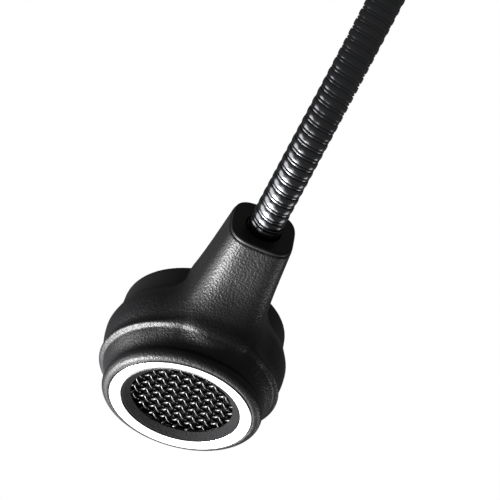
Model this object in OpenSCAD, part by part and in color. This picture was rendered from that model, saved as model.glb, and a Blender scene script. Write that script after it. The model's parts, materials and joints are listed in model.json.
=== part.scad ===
// Desktop microphone: a round head on a flexible gooseneck, standing on a weighted base
// with a sprung talk key. Millimetres, +Z up, talker at -Y, origin under the rubber pad.

/* [Head] */
// Radius of the rounded front rim of the head
rim_r = 22.6; // [21:0.1:28]
// How far the ridge, where the head is widest, stands out past the rim
ridge_out = 2.8; // [1.8:0.1:4]
// Depth of the ridge behind the face
ridge_depth = 10.2; // [9:0.1:13]
// Depth of the seam between the head shell and the rear cover
seam_depth = 23; // [21:0.1:27]
// Depth of the whole head, face to back
head_depth = 32; // [30:0.1:40]
// Wall of the head shell
head_wall = 2.2; // [1.6:0.1:2.8]
// Width of the land between the rim and the polished trim ring
rim_land = 2.5; // [2.1:0.1:3.2]
// Width of the trim ring's band
ring_band = 3.3; // [2.5:0.1:3.8]
// Thickness of the trim ring
ring_t = 1.2; // [1:0.1:1.6]
// Width of the grille bezel between the ring and the wire mesh
bezel_w = 2.4; // [2.1:0.1:4]
// Depth of the wire mesh behind the face
mesh_depth = 2; // [1.9:0.1:3]
// Distance between the wires of the mesh
mesh_pitch = 2.5; // [2:0.1:4]
// Diameter of a mesh wire
mesh_wire_d = 0.8; // [0.5:0.1:1]

/* [Neck] */
// Length of the neck, mouth to head axis
neck_len = 49; // [46:0.5:60]
// Depth behind the face where the neck's axis meets the head's
neck_axis_depth = 17; // [15:0.1:20]
// Angle between the neck's axis and the direction the face looks in
face_tilt = 72; // [68:1:78]
// Turn of the head about the neck's axis
head_turn = 10; // [-30:1:30]
// Outer radius of the neck at its mouth
neck_mouth_r = 9.3; // [8.8:0.1:10]
// Outer radius of the neck where it flares into the head
neck_root_r = 11.2; // [10.5:0.1:12]
// Wall of the neck round the recess in its mouth
mouth_wall = 1.2; // [1:0.1:1.6]
// Depth of the recess in the neck's mouth
mouth_hole_depth = 3; // [2:0.5:6]
// How far the cap in the neck's mouth stands out
mouth_cap_t = 0.9; // [0.6:0.1:2]

/* [Gooseneck] */
// Outer diameter of the gooseneck
goose_d = 9.5; // [7.9:0.1:11.4]
// Bore of the gooseneck that the signal lead runs through
goose_bore_d = 5.6; // [4:0.1:6]
// Length of one straight section between its flexing points
link_len = 27; // [24:0.5:40]
// Radius of the bend near the head
bend_radius = 96; // [80:1:140]
// Whole angle of the bend near the head
bend_angle = 36; // [24:1:48]

/* [Base] */
// Radius of the base
base_r = 58; // [56:1:80]
// Height of the base's flat top above the desk
base_h = 25; // [24:0.5:36]
// Wall of the base shell
base_wall = 2.6; // [2:0.1:3]
// Distance of the gooseneck's foot behind the base's centre
foot_y = 18; // [16:0.5:24]
// Thickness of the rubber pad
pad_t = 2.4; // [2:0.1:4]
// Thickness of the steel base plate
plate_t = 2; // [1.5:0.1:2.5]
// Thickness of the iron ballast
ballast_t = 5.6; // [4:0.1:6]
// Radius of the iron ballast
ballast_r = 42; // [36:0.5:42]

/* [Talk key] */
// Width of the talk key, side to side
key_w = 38; // [30:1:42]
// Length of the talk key, front to back
key_l = 15; // [12:0.5:18]
// Distance of the talk key in front of the base's centre
key_y = 30; // [28:0.5:32]
// How far the key stands above the base
key_proud = 3.2; // [2.6:0.1:5]
// Travel of the key
key_travel = 2; // [1:0.1:2.4]
// Gap all round a part that slides or is dropped in
clearance = 0.4; // [0.3:0.05:0.5]

/* [Hidden] */

$fn = 96;
bore_fn = 64;
eps = 0.01;
fit = 0.05;

// Head: the face is at depth 0 and depths run back from it
ridge_r = rim_r + ridge_out;
ridge_round = 0.7;
ring_outer_r = rim_r - rim_land;
ring_inner_r = ring_outer_r - ring_band;
mesh_view_r = ring_inner_r - bezel_w;
rim_round = 2;
rim_drop = 0.2;
cove_r = rim_r - 1.8;
body_r = ridge_r - 0.1;
seam_r = ridge_r - 1.2;
cover_r = ridge_r - 2;
cover_taper = 0.5;
cover_round = 3.4;
cover_edge_depth = seam_depth + 0.4;
cavity_r = cover_r - 1.2;
cavity_depth = ridge_depth + 1.2;
bezel_lip = 0.5;
bezel_rise = 0.7;
bezel_seat_r = ring_inner_r + bezel_lip;
mesh_r = mesh_view_r + 1.2;
mesh_t = 2 * mesh_wire_d;
sleeve_r = mesh_view_r + 0.8;
sleeve_outer_r = sleeve_r + 2.2;
sleeve_len = 9;
foam_t = 1.8;
foam_depth = mesh_depth + mesh_t + 0.1;
front_wall_depth = foam_depth + foam_t + 0.2;
capsule_r = sleeve_r - 3;
capsule_depth = front_wall_depth + 0.6;
capsule_len = 10.5;
capsule_wall = 0.9;
magnet_r = capsule_r - 4.9;
magnet_t = 4.8;
coil_r = capsule_r - 7;
coil_len = 1.6;
diaphragm_depth = capsule_depth + 2.4;
diaphragm_t = 0.3;
mount_len = 6;
cover_t = 2.4;
cover_screw_r = cavity_r - 4.5;
spigot_wall = 1.6;
spigot_len = 2.6;
cover_screw_count = 3;
screw_r = 1.25;
screw_head_r = 2.4;
screw_head_t = 1.3;
screw_socket_r = 1.1;
screw_bite = 5;
screw_sink = 0.7;
cover_screw_len = head_depth - screw_head_t - screw_sink - seam_depth + cover_t + screw_bite;
post_r = 3.2;
ferrule_r = goose_d / 2 + 1.65;
ferrule_len = 8;
flare_r = 8;
mouth_hole_r = neck_mouth_r - mouth_wall;
neck_top = neck_len - ridge_r + 1.4;
flare_start = neck_len - ridge_r - 8.6;
flare_end = flare_start + 14.5;

// Gooseneck: upright links above the foot, then leaning ones up to the neck
straight_links = 8;
bent_links = 3;
link_count = straight_links + bent_links;
link_bend = bend_angle / bent_links;
curve_len = 2 * bend_radius * tan(link_bend / 2);
goose_r = goose_d / 2;
dome_r = goose_r - 0.35;
cup_r = goose_r + 0.25;
flange_t = 3.2;
foot_z = base_h + flange_t;

// Base
plate_z = pad_t;
ballast_z = plate_z + plate_t;
rim_z = pad_t + 0.6;
edge_round = 8;
edge_drop = 0.25;
side_lean = 0.8;
flat_r = base_r - 24;
plate_r = base_r - base_wall - clearance;
pad_r = base_r - 3;
plate_screw_pcr = base_r - 9;
ballast_screw_pcr = ballast_r - 8;
boss_r = 3.6;
board_w = 42;
board_front = -46;
board_back = base_r - 9;
board_z = 13.4;
tongue_w = 16;
tongue_l = base_r - base_wall - 1.6 - board_back;
board_t = 1.6;
board_post_x = 16;
board_post_front = -10;
board_post_back = 42;
stud_r = goose_r + 2.25;
stud_len = 9;
nut_af = 2 * stud_r + 5;
nut_t = 3;
washer_t = 1;
flange_r = goose_r + 7.25;
socket_w = 9.2;
socket_h = 3.4;
socket_l = 7.6;
led_y = -13;
pipe_r = 1.6;

// Talk key
key_flange = 1.8;
key_flange_t = 1.4;
key_corner = 4;
key_edge = 0.6;
dish_r = 40;
dish_depth = 1.2;
key_top = base_h + key_proud;
key_inner_z = base_h - base_wall;
key_flange_z = key_inner_z - edge_drop - key_flange_t - 0.1;
switch_w = 6.2;
switch_t = 3.4;
switch_z = board_z + board_t;
plunger_r = 1.6;
plunger_z = switch_z + switch_t - 0.2;
spring_r = 5.2;
spring_wire_r = 0.35;
spring_turns = 4;

// Points of an arc from angle a to angle b
function arc(x, y, r, a, b, steps = 10) =
    [for (i = [0:steps]) let (t = a + (b - a) * i / steps) [x + r * cos(t), y + r * sin(t)]];

// Points of a cubic curve from p to s, without its last point
function curve(p, q, r, s, steps = 10) =
    [for (i = [0:steps - 1]) let (t = i / steps, u = 1 - t)
        u * u * u * p + 3 * u * u * t * q + 3 * u * t * t * r + t * t * t * s];

// ---------- placing ----------

module at_neck() {
    translate(link_pos(link_count + 1)) rotate([-bend_angle, 0, 0]) rotate([0, 0, -head_turn]) children();
}

// The head's own frame: the face at z = 0, looking along +Z
module at_head() {
    at_neck() translate([0, 0, neck_len]) rotate([face_tilt, 0, 0])
        translate([0, 0, neck_axis_depth]) children();
}

// From the head's frame back to the neck's: the mouth at z = 0, the head along +Z
module neck_in_head() {
    translate([0, 0, -neck_axis_depth]) rotate([-face_tilt, 0, 0]) translate([0, 0, -neck_len]) children();
}

// A plain sleeve
module tube(r_out, r_in, h, z = 0) {
    translate([0, 0, z]) difference() {
        cylinder(r = r_out, h = h);
        translate([0, 0, -1]) cylinder(r = r_in, h = h + 2);
    }
}

// A screw with a hexagon socket, its head below z = 0
module screw(length) {
    difference() {
        union() {
            cylinder(r = screw_r, h = length, $fn = bore_fn);
            translate([0, 0, -screw_head_t]) cylinder(r = screw_head_r, h = screw_head_t, $fn = bore_fn);
        }
        translate([0, 0, -screw_head_t - eps]) cylinder(r = screw_socket_r, h = screw_head_t * 0.6, $fn = 6);
    }
}

// Copies spread round a circle
module ring_of(count, r, start = 0) {
    for (i = [0:count - 1]) rotate([0, 0, start + i * 360 / count]) translate([r, 0, 0]) children();
}

// ---------- head ----------

// Outline of the head from the face's edge to the seam, radius against depth
function head_outline() = concat(
    [[0, -rim_drop]],
    arc(rim_r - rim_round, -rim_drop - rim_round, rim_round, 90, 0),
    curve([rim_r, -3.2], [cove_r, -6], [cove_r, -ridge_depth + 2.6], [ridge_r - 0.6, -ridge_depth + 0.6]),
    arc(ridge_r - ridge_round, -ridge_depth, ridge_round, 50, -50, 6),
    curve([body_r - 0.6, -ridge_depth - 1.2], [body_r, -ridge_depth - 5],
          [body_r, -seam_depth + 6], [seam_r, -seam_depth]),
    [[seam_r, -seam_depth], [0, -seam_depth]]
);

// The neck's flare: a trumpet about the neck's axis that widens towards the head
function flare_outline() = concat(
    [[0, flare_start]],
    curve([neck_root_r - 0.9, flare_start], [neck_root_r, flare_start + 4],
          [neck_root_r + 0.8, flare_start + 7.5], [neck_root_r + flare_r, flare_end]),
    [[neck_root_r + flare_r, flare_end], [neck_root_r + flare_r, flare_end + flare_r], [0, flare_end + flare_r]]
);

module neck_solid() {
    neck_in_head() cylinder(r1 = neck_mouth_r, r2 = neck_root_r, h = neck_top);
    intersection() {
        neck_in_head() rotate_extrude() polygon(flare_outline());
        translate([0, 0, -seam_depth]) cylinder(r = 2 * ridge_r, h = seam_depth - ridge_depth + 1.5);
    }
}

// The way of the signal lead from the neck's mouth into the head
module lead_bore(r) {
    neck_in_head() cylinder(r = r, h = neck_len - cavity_r + spigot_wall + 2 * clearance, $fn = bore_fn);
}

// Cylinders at the rear cover's screws
module cover_posts(r, z, h) {
    translate([0, 0, z]) ring_of(cover_screw_count, cover_screw_r, 90) cylinder(r = r, h = h, $fn = bore_fn);
}

module head_shell() {
    color([0.05, 0.05, 0.055]) at_head() difference() {
        union() {
            difference() {
                union() {
                    rotate_extrude() polygon(head_outline());
                    neck_solid();
                }
                // room for the capsule and the rear cover's spigot
                translate([0, 0, -seam_depth - 20]) cylinder(r = cavity_r, h = seam_depth - cavity_depth + 20);
                translate([0, 0, -seam_depth - 20])
                    cylinder(r = cove_r - head_wall, h = seam_depth + 20 - front_wall_depth - head_wall);
                // the rear cover's place
                translate([0, 0, -head_depth - 40]) cylinder(r = cover_r + clearance, h = head_depth + 40 - seam_depth);
            }
            tube(sleeve_outer_r, sleeve_r, sleeve_len, -front_wall_depth - sleeve_len);
            cover_posts(post_r, -seam_depth + cover_t, seam_depth - cover_t - front_wall_depth);
        }
        // front: seats for the trim ring, the bezel, the mesh and the foam
        translate([0, 0, -ring_t]) cylinder(r = ring_outer_r + fit, h = ring_t + 1);
        translate([0, 0, -mesh_depth]) cylinder(r = bezel_seat_r + fit, h = mesh_depth);
        translate([0, 0, -foam_depth]) cylinder(r = mesh_r + fit, h = foam_depth);
        translate([0, 0, -front_wall_depth - sleeve_len - 1]) cylinder(r = sleeve_r, h = front_wall_depth + sleeve_len);
        cover_posts(screw_r + fit, -seam_depth + cover_t - 1, screw_bite + 3);
        // neck: recess in the mouth, then the ferrule's bore
        neck_in_head() {
            translate([0, 0, -1]) cylinder(r = mouth_hole_r, h = mouth_hole_depth + 1, $fn = bore_fn);
            cylinder(r = ferrule_r + fit, h = mouth_hole_depth + ferrule_len, $fn = bore_fn);
        }
        lead_bore(goose_bore_d / 2);
    }
}

module rear_cover() {
    outline = concat(
        [[0, -cover_edge_depth], [cover_r, -cover_edge_depth]],
        arc(cover_r - cover_taper - cover_round, -head_depth + cover_round, cover_round, 0, -90),
        [[0, -head_depth]]
    );
    color([0.06, 0.06, 0.065]) at_head() difference() {
        union() {
            rotate_extrude() polygon(outline);
            tube(cavity_r - clearance, cavity_r - clearance - spigot_wall, spigot_len, -cover_edge_depth - eps);
            cover_posts(post_r + 0.8, -cover_edge_depth - eps, cover_edge_depth - seam_depth + cover_t - clearance);
        }
        translate([0, 0, -head_depth + cover_t]) difference() {
            cylinder(r = cover_r - 2.4, h = head_depth - cover_edge_depth - cover_t + eps);
            ring_of(cover_screw_count, cover_screw_r, 90) cylinder(r = post_r + 0.8, h = head_depth);
        }
        cover_posts(screw_r + clearance, -head_depth - 1, head_depth);
        cover_posts(screw_head_r + clearance, -head_depth - 1, screw_head_t + screw_sink + 1);
        lead_bore(goose_bore_d / 2 + clearance);
    }
}

module trim_ring() {
    outline = concat(
        [[ring_outer_r, -ring_t]],
        arc(ring_outer_r - 0.5, -0.35, 0.5, 0, 90, 6),
        arc(ring_inner_r + 0.5, -0.35, 0.5, 90, 180, 6),
        [[ring_inner_r, -ring_t]]
    );
    color([0.85, 0.86, 0.88]) at_head() rotate_extrude() polygon(outline);
}

module grille_bezel() {
    outline = [
        [bezel_seat_r, -mesh_depth],
        [bezel_seat_r, -ring_t],
        [ring_inner_r, -ring_t],
        [ring_inner_r, -ring_t + bezel_rise],
        [ring_inner_r - bezel_lip, -ring_t + bezel_rise],
        [mesh_view_r, -mesh_depth + 0.3],
        [mesh_view_r, -mesh_depth]
    ];
    color([0.12, 0.12, 0.13]) at_head() rotate_extrude() polygon(outline);
}

// One layer of straight parallel wires, each as long as its outer edge has room for in the circle
module wire_layer() {
    wires = floor((mesh_r - mesh_wire_d) / mesh_pitch);
    for (i = [-wires:wires]) {
        edge = abs(i) * mesh_pitch + mesh_wire_d / 2;
        half = sqrt(mesh_r * mesh_r - edge * edge) - fit;
        translate([i * mesh_pitch, 0, 0]) rotate([90, 0, 0]) cylinder(d = mesh_wire_d, h = 2 * half, center = true, $fn = 24);
    }
}

module wire_mesh() {
    color([0.02, 0.02, 0.02]) at_head() translate([0, 0, -mesh_depth - mesh_t / 2]) {
        difference() {
            cylinder(r = mesh_r, h = mesh_t - 0.2, center = true);
            cylinder(r = mesh_view_r + 0.2, h = mesh_t, center = true);
        }
        translate([0, 0, mesh_wire_d * 0.45]) rotate([0, 0, 45]) wire_layer();
        translate([0, 0, -mesh_wire_d * 0.45]) rotate([0, 0, -45]) wire_layer();
    }
}

module foam_disc() {
    color([0.1, 0.1, 0.1]) at_head() translate([0, 0, -foam_depth - foam_t])
        cylinder(r = sleeve_r - clearance, h = foam_t - 0.1);
}

// ---------- capsule ----------

module capsule_case() {
    color([0.6, 0.6, 0.62]) at_head() translate([0, 0, -capsule_depth - capsule_len]) difference() {
        cylinder(r = capsule_r, h = capsule_len);
        translate([0, 0, capsule_wall]) cylinder(r = capsule_r - capsule_wall, h = capsule_len);
        ring_of(2, 4) translate([0, 0, -1]) cylinder(r = 0.8, h = 4, $fn = bore_fn);
    }
}

module capsule_grille() {
    color([0.7, 0.7, 0.72]) at_head() translate([0, 0, -capsule_depth - 1]) difference() {
        cylinder(r = capsule_r - capsule_wall, h = 1);
        translate([0, 0, -1]) ring_of(6, 4) cylinder(r = 1, h = 3, $fn = bore_fn);
        translate([0, 0, -1]) ring_of(12, 8) cylinder(r = 1, h = 3, $fn = bore_fn);
    }
}

module diaphragm() {
    edge_r = capsule_r - capsule_wall - 0.2;
    outline = concat(
        [[0, 1.1]],
        curve([0.4, 1.1], [coil_r - 2.4, 1.05], [coil_r - 1, 0.8], [coil_r, 0]),
        curve([coil_r, 0], [coil_r + 1.6, 0.6], [coil_r + 3.6, 0.6], [coil_r + 4.6, 0]),
        [[edge_r, 0], [edge_r, -diaphragm_t], [0, -diaphragm_t]]
    );
    color([0.8, 0.8, 0.75, 0.7]) at_head() translate([0, 0, -diaphragm_depth]) rotate_extrude() polygon(outline);
}

module voice_coil() {
    color([0.72, 0.4, 0.2]) at_head() tube(coil_r, coil_r - 0.5, coil_len, -diaphragm_depth - diaphragm_t - coil_len);
}

module capsule_magnet() {
    color([0.5, 0.5, 0.52]) at_head() translate([0, 0, -capsule_depth - capsule_len + capsule_wall])
        cylinder(r = magnet_r, h = magnet_t);
}

module rubber_mount() {
    color([0.07, 0.07, 0.07]) at_head() tube(sleeve_r, capsule_r, mount_len, -capsule_depth - 1.5 - mount_len);
}

module cover_gasket() {
    color([0.02, 0.02, 0.02]) at_head() difference() {
        tube(cover_r, cavity_r, cover_edge_depth - seam_depth, -cover_edge_depth);
        lead_bore(goose_bore_d / 2 + clearance);
    }
}

module cover_screws() {
    color([0.3, 0.3, 0.32]) at_head() translate([0, 0, -head_depth + screw_head_t + screw_sink])
        ring_of(cover_screw_count, cover_screw_r, 90) screw(cover_screw_len);
}

// ---------- neck fittings ----------

module neck_ferrule() {
    color([0.75, 0.6, 0.3]) at_neck() tube(ferrule_r, goose_r, ferrule_len - 0.5, mouth_hole_depth);
}

// The cap in the neck's mouth, with a spigot in the recess
module mouth_bush() {
    edge = 0.6;
    cap_r = neck_mouth_r - 0.2;
    outline = concat(
        [[goose_r, -mouth_cap_t]],
        arc(cap_r - edge, edge - mouth_cap_t, edge, -90, 0, 6),
        [[cap_r, 0], [mouth_hole_r, 0], [mouth_hole_r, mouth_hole_depth], [goose_r, mouth_hole_depth]]
    );
    color([0.04, 0.04, 0.04]) at_neck() rotate_extrude() polygon(outline);
}

// ---------- gooseneck ----------

// Lean, length and lower pivot of each link, counted from 1
function link_lean(i) = max(0, i - straight_links) * link_bend;
function link_length(i) = i <= straight_links ? link_len : i < link_count ? curve_len : curve_len / 2;
function link_pos(i) = i == 1 ? [0, foot_y, foot_z] :
    link_pos(i - 1) + link_length(i - 1) * [0, sin(link_lean(i - 1)), cos(link_lean(i - 1))];

module gooseneck_link(i) {
    length = link_length(i);
    tail = i == link_count ? mouth_hole_depth + ferrule_len - 0.5 : 0;
    color([0.62, 0.62, 0.64]) translate(link_pos(i)) rotate([-link_lean(i), 0, 0]) difference() {
        union() {
            cylinder(r = goose_r, h = length + tail, $fn = bore_fn);
            if (i < link_count) translate([0, 0, length]) sphere(r = dome_r);
        }
        if (i > 1) sphere(r = cup_r);
        translate([0, 0, -1]) cylinder(d = goose_bore_d, h = length + tail + 10, $fn = bore_fn);
    }
}

// ---------- foot ----------

module gooseneck_flange() {
    outline = concat(
        [[stud_r + fit, 0], [flange_r, 0], [flange_r, 1]],
        curve([flange_r, 1], [flange_r - 0.6, flange_t + 0.6], [goose_r + 3, flange_t - 0.6], [goose_r + 2.6, flange_t + 6]),
        [[goose_r + 2, flange_t + 6.6], [goose_r + clearance, flange_t + 6.6], [goose_r + clearance, flange_t]]
    );
    color([0.7, 0.71, 0.73]) translate([0, foot_y, base_h]) rotate_extrude() polygon(
        concat(outline, [[stud_r + fit, flange_t]]));
}

module foot_stud() {
    color([0.72, 0.6, 0.34]) translate([0, foot_y, foot_z - stud_len])
        tube(stud_r, goose_bore_d / 2, stud_len);
}

module lock_washer() {
    color([0.6, 0.6, 0.62]) translate([0, foot_y, base_h - base_wall - washer_t])
        tube(stud_r + 3, stud_r + fit, washer_t);
}

module foot_nut() {
    color([0.7, 0.7, 0.72]) translate([0, foot_y, base_h - base_wall - washer_t - nut_t]) difference() {
        cylinder(d = nut_af / cos(30), h = nut_t, $fn = 6);
        translate([0, 0, -1]) cylinder(r = stud_r, h = nut_t + 2, $fn = bore_fn);
    }
}

// ---------- base ----------

// Outline of the base, set in by a wall when it makes the inside
function base_outline(inset = 0) = concat(
    [[0, rim_z - (inset > 0 ? 1 : 0)], [base_r - inset, rim_z - (inset > 0 ? 1 : 0)]],
    arc(base_r - side_lean - edge_round, base_h - edge_drop - edge_round, edge_round - inset, 0, 84, 12),
    [[flat_r, base_h - inset], [0, base_h - inset]]
);

// A flat bar with round corners, in the key's place
module key_prism(grow, z, h) {
    r = key_corner + grow;
    x = key_w / 2 + grow;
    y = key_l / 2 + grow;
    translate([0, -key_y, z]) {
        translate([-x + r, -y, 0]) cube([2 * (x - r), 2 * y, h]);
        translate([-x, -y + r, 0]) cube([2 * x, 2 * (y - r), h]);
        for (i = [-1, 1], j = [-1, 1]) translate([i * (x - r), j * (y - r), 0]) cylinder(r = r, h = h, $fn = bore_fn);
    }
}

// Cylinders at the base plate's screws
module plate_bosses(r, z, h) {
    translate([0, 0, z]) ring_of(4, plate_screw_pcr, 45) cylinder(r = r, h = h, $fn = bore_fn);
}

// Cylinders at the control board's screws
module board_posts(r, z, h) {
    for (x = [-board_post_x, board_post_x], y = [board_post_front, board_post_back])
        translate([x, y, z]) cylinder(r = r, h = h, $fn = bore_fn);
}

module base_shell() {
    socket_z = board_z + board_t;
    color([0.05, 0.05, 0.055]) difference() {
        union() {
            difference() {
                rotate_extrude() polygon(base_outline());
                rotate_extrude() polygon(base_outline(base_wall));
            }
            intersection() {
                rotate_extrude() polygon(base_outline(1));
                union() {
                    plate_bosses(boss_r, ballast_z, base_h);
                    board_posts(boss_r - 0.8, board_z + board_t, base_h);
                }
            }
        }
        translate([0, foot_y, 0]) cylinder(r = stud_r + clearance, h = base_h + 5, $fn = bore_fn);
        key_prism(clearance, base_h - 8, 12);
        translate([0, led_y, 0]) cylinder(r = pipe_r + fit, h = base_h + 5, $fn = bore_fn);
        translate([-socket_w / 2 - clearance, base_r - socket_l - 1, socket_z - clearance / 2])
            cube([socket_w + 2 * clearance, socket_l + 5, socket_h + clearance]);
        plate_bosses(screw_r, ballast_z - 1, 10);
        board_posts(screw_r, board_z + board_t - 1, 5);
    }
}

module base_plate() {
    color([0.55, 0.56, 0.58]) difference() {
        translate([0, 0, plate_z]) cylinder(r = plate_r, h = plate_t);
        plate_bosses(screw_r + clearance, plate_z - 1, plate_t + 2);
        plate_bosses(screw_head_r + clearance, plate_z - 1, 1 + screw_head_t);
        translate([0, 0, plate_z - 1]) ring_of(3, ballast_screw_pcr, 90) {
            cylinder(r = screw_r + clearance, h = plate_t + 2, $fn = bore_fn);
            cylinder(r = screw_head_r + clearance, h = 1 + screw_head_t, $fn = bore_fn);
        }
    }
}

module ballast() {
    color([0.3, 0.3, 0.31]) difference() {
        translate([0, 0, ballast_z]) cylinder(r = ballast_r, h = ballast_t);
        translate([0, 0, ballast_z - 1]) ring_of(3, ballast_screw_pcr, 90)
            cylinder(r = screw_r, h = ballast_t + 2, $fn = bore_fn);
    }
}

module rubber_pad() {
    color([0.1, 0.1, 0.1]) cylinder(r = pad_r, h = pad_t);
}

module plate_screws() {
    color([0.5, 0.5, 0.52]) translate([0, 0, plate_z + screw_head_t]) ring_of(4, plate_screw_pcr, 45) screw(9);
}

module ballast_screws() {
    color([0.5, 0.5, 0.52]) translate([0, 0, plate_z + screw_head_t]) ring_of(3, ballast_screw_pcr, 90) screw(5);
}

// ---------- electronics ----------

module control_board() {
    color([0.1, 0.35, 0.2]) difference() {
        union() {
            translate([-board_w / 2, board_front, board_z]) cube([board_w, board_back - board_front, board_t]);
            translate([-tongue_w / 2, board_back - 1, board_z]) cube([tongue_w, tongue_l + 1, board_t]);
        }
        board_posts(screw_r + clearance, board_z - 1, board_t + 2);
    }
}

module board_screws() {
    color([0.5, 0.5, 0.52]) for (x = [-board_post_x, board_post_x], y = [board_post_front, board_post_back])
        translate([x, y, board_z]) screw(board_t + 3.5);
}

module switch_body() {
    color([0.15, 0.15, 0.16]) translate([0, -key_y, switch_z]) difference() {
        translate([-switch_w / 2, -switch_w / 2, 0]) cube([switch_w, switch_w, switch_t]);
        translate([0, 0, switch_t - 0.2 - key_travel - clearance])
            cylinder(r = plunger_r + clearance, h = switch_t, $fn = bore_fn);
    }
}

module audio_chip() {
    color([0.08, 0.08, 0.09]) translate([-5, 8, switch_z]) cube([10, 10, 1.4]);
}

module status_led() {
    color([0.9, 0.2, 0.1]) translate([0, led_y, switch_z]) cylinder(r = pipe_r, h = 1.2, $fn = bore_fn);
}

module light_pipe() {
    color([0.9, 0.9, 0.9, 0.6]) translate([0, led_y, switch_z + 1.2]) {
        cylinder(r = pipe_r, h = base_h - switch_z - 1.2 + 0.3, $fn = bore_fn);
        translate([0, 0, base_h - base_wall - switch_z - 2.2]) cylinder(r = pipe_r + 1, h = 1, $fn = bore_fn);
    }
}

module lead_socket() {
    color([0.7, 0.7, 0.72]) translate([0, base_r - base_wall / 2 - socket_l, board_z + board_t]) difference() {
        translate([-socket_w / 2, 0, 0]) cube([socket_w, socket_l, socket_h]);
        translate([-socket_w / 2 + 0.4, 1, 0.4]) cube([socket_w - 0.8, socket_l, socket_h - 0.8]);
    }
}

// ---------- talk key ----------

module talk_key() {
    color([0.09, 0.09, 0.1]) {
        difference() {
            union() {
                key_prism(0, key_flange_z, key_top - key_edge - key_flange_z);
                key_prism(-key_edge, key_top - key_edge - eps, key_edge + eps);
                key_prism(key_flange, key_flange_z, key_flange_t);
            }
            // finger dish
            translate([0, -key_y, key_top - dish_depth + dish_r]) rotate([90, 0, 90])
                cylinder(r = dish_r, h = key_w - 8, center = true, $fn = 128);
        }
        translate([0, -key_y, plunger_z]) cylinder(r = plunger_r, h = key_flange_z - plunger_z + eps, $fn = bore_fn);
    }
}

// A coil spring drawn as a swept helix with closed ends resting on the board and the key
module key_spring() {
    sides = 8;
    per_turn = 24;
    bottom = switch_z + spring_wire_r + 0.05;
    height = key_flange_z - switch_z - 2 * spring_wire_r - 0.1;
    rings = spring_turns * per_turn;
    points = [for (i = [0:rings], j = [0:sides - 1]) let (
        a = 360 * i / per_turn,
        b = 360 * j / sides,
        r = spring_r + spring_wire_r * cos(b)
    ) [r * cos(a), r * sin(a), bottom + height * i / rings + spring_wire_r * sin(b)]];
    walls = [for (i = [0:rings - 1], j = [0:sides - 1]) let (k = (j + 1) % sides)
        [i * sides + j, i * sides + k, (i + 1) * sides + k, (i + 1) * sides + j]];
    ends = [[for (j = [sides - 1:-1:0]) j], [for (j = [0:sides - 1]) rings * sides + j]];
    color([0.75, 0.75, 0.77]) translate([0, -key_y, 0]) polyhedron(points, concat(walls, ends));
}

head_shell();
rear_cover();
trim_ring();
grille_bezel();
wire_mesh();
foam_disc();
capsule_case();
capsule_grille();
diaphragm();
voice_coil();
capsule_magnet();
rubber_mount();
cover_gasket();
cover_screws();
neck_ferrule();
mouth_bush();
gooseneck_link(1);  // gooseneck_link_01
gooseneck_link(2);  // gooseneck_link_02
gooseneck_link(3);  // gooseneck_link_03
gooseneck_link(4);  // gooseneck_link_04
gooseneck_link(5);  // gooseneck_link_05
gooseneck_link(6);  // gooseneck_link_06
gooseneck_link(7);  // gooseneck_link_07
gooseneck_link(8);  // gooseneck_link_08
gooseneck_link(9);  // gooseneck_link_09
gooseneck_link(10);  // gooseneck_link_10
gooseneck_link(11);  // gooseneck_link_11
gooseneck_flange();
foot_stud();
lock_washer();
foot_nut();
base_shell();
base_plate();
ballast();
rubber_pad();
plate_screws();
ballast_screws();
control_board();
board_screws();
switch_body();
audio_chip();
status_led();
light_pipe();
lead_socket();
talk_key();
key_spring();
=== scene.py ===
"""Desktop microphone: the visual model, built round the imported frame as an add-on.

Everything is in metres in the frame's own axes; the head is shaped in its own frame, in
millimetres, with the face at z = 0 looking along +Z and the neck running towards -Y.
"""

import json
import math

import bmesh
import bpy
import numpy as np
from bpy.props import FloatProperty, FloatVectorProperty, PointerProperty
from mathutils import Matrix, Vector


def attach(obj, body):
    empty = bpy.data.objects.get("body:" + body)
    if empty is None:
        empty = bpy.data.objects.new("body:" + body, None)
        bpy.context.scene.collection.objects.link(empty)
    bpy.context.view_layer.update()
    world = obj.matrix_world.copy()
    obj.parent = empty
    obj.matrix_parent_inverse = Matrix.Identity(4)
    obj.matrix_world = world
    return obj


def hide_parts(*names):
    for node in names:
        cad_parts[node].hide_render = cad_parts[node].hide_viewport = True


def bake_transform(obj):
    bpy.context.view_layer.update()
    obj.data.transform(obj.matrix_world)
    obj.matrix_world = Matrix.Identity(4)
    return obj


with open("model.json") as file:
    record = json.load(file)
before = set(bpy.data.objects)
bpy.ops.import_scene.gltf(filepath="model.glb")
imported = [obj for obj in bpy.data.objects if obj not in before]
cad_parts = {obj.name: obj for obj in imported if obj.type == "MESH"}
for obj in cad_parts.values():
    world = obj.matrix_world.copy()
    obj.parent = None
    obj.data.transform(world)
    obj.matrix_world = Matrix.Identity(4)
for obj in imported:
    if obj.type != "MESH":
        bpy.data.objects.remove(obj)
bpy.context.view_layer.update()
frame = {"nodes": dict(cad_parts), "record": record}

bl_info = {
    "name": "Desktop microphone",
    "version": (1, 0, 0),
    "blender": (4, 5, 0),
    "location": "3D View > Sidebar > Microphone",
    "description": "Builds a gooseneck desktop microphone round its mechanical frame",
    "category": "Object",
}

MM = 0.001


# ---------- measures taken from the frame ----------

def node_points(name):
    """The corners of a frame node's mesh, in millimetres."""
    mesh = frame["nodes"][name].data
    points = np.empty(len(mesh.vertices) * 3)
    mesh.vertices.foreach_get("co", points)
    return points.reshape(-1, 3) / MM


def pivots():
    """The gooseneck's flexing points from the foot up, in millimetres."""
    joints = frame["record"]["behaviour"]["joints"]
    return [np.array(j["pos_m"]) / MM for j in joints if j["name"].startswith("gooseneck_")]


def unit(vector):
    return vector / np.linalg.norm(vector)


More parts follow.
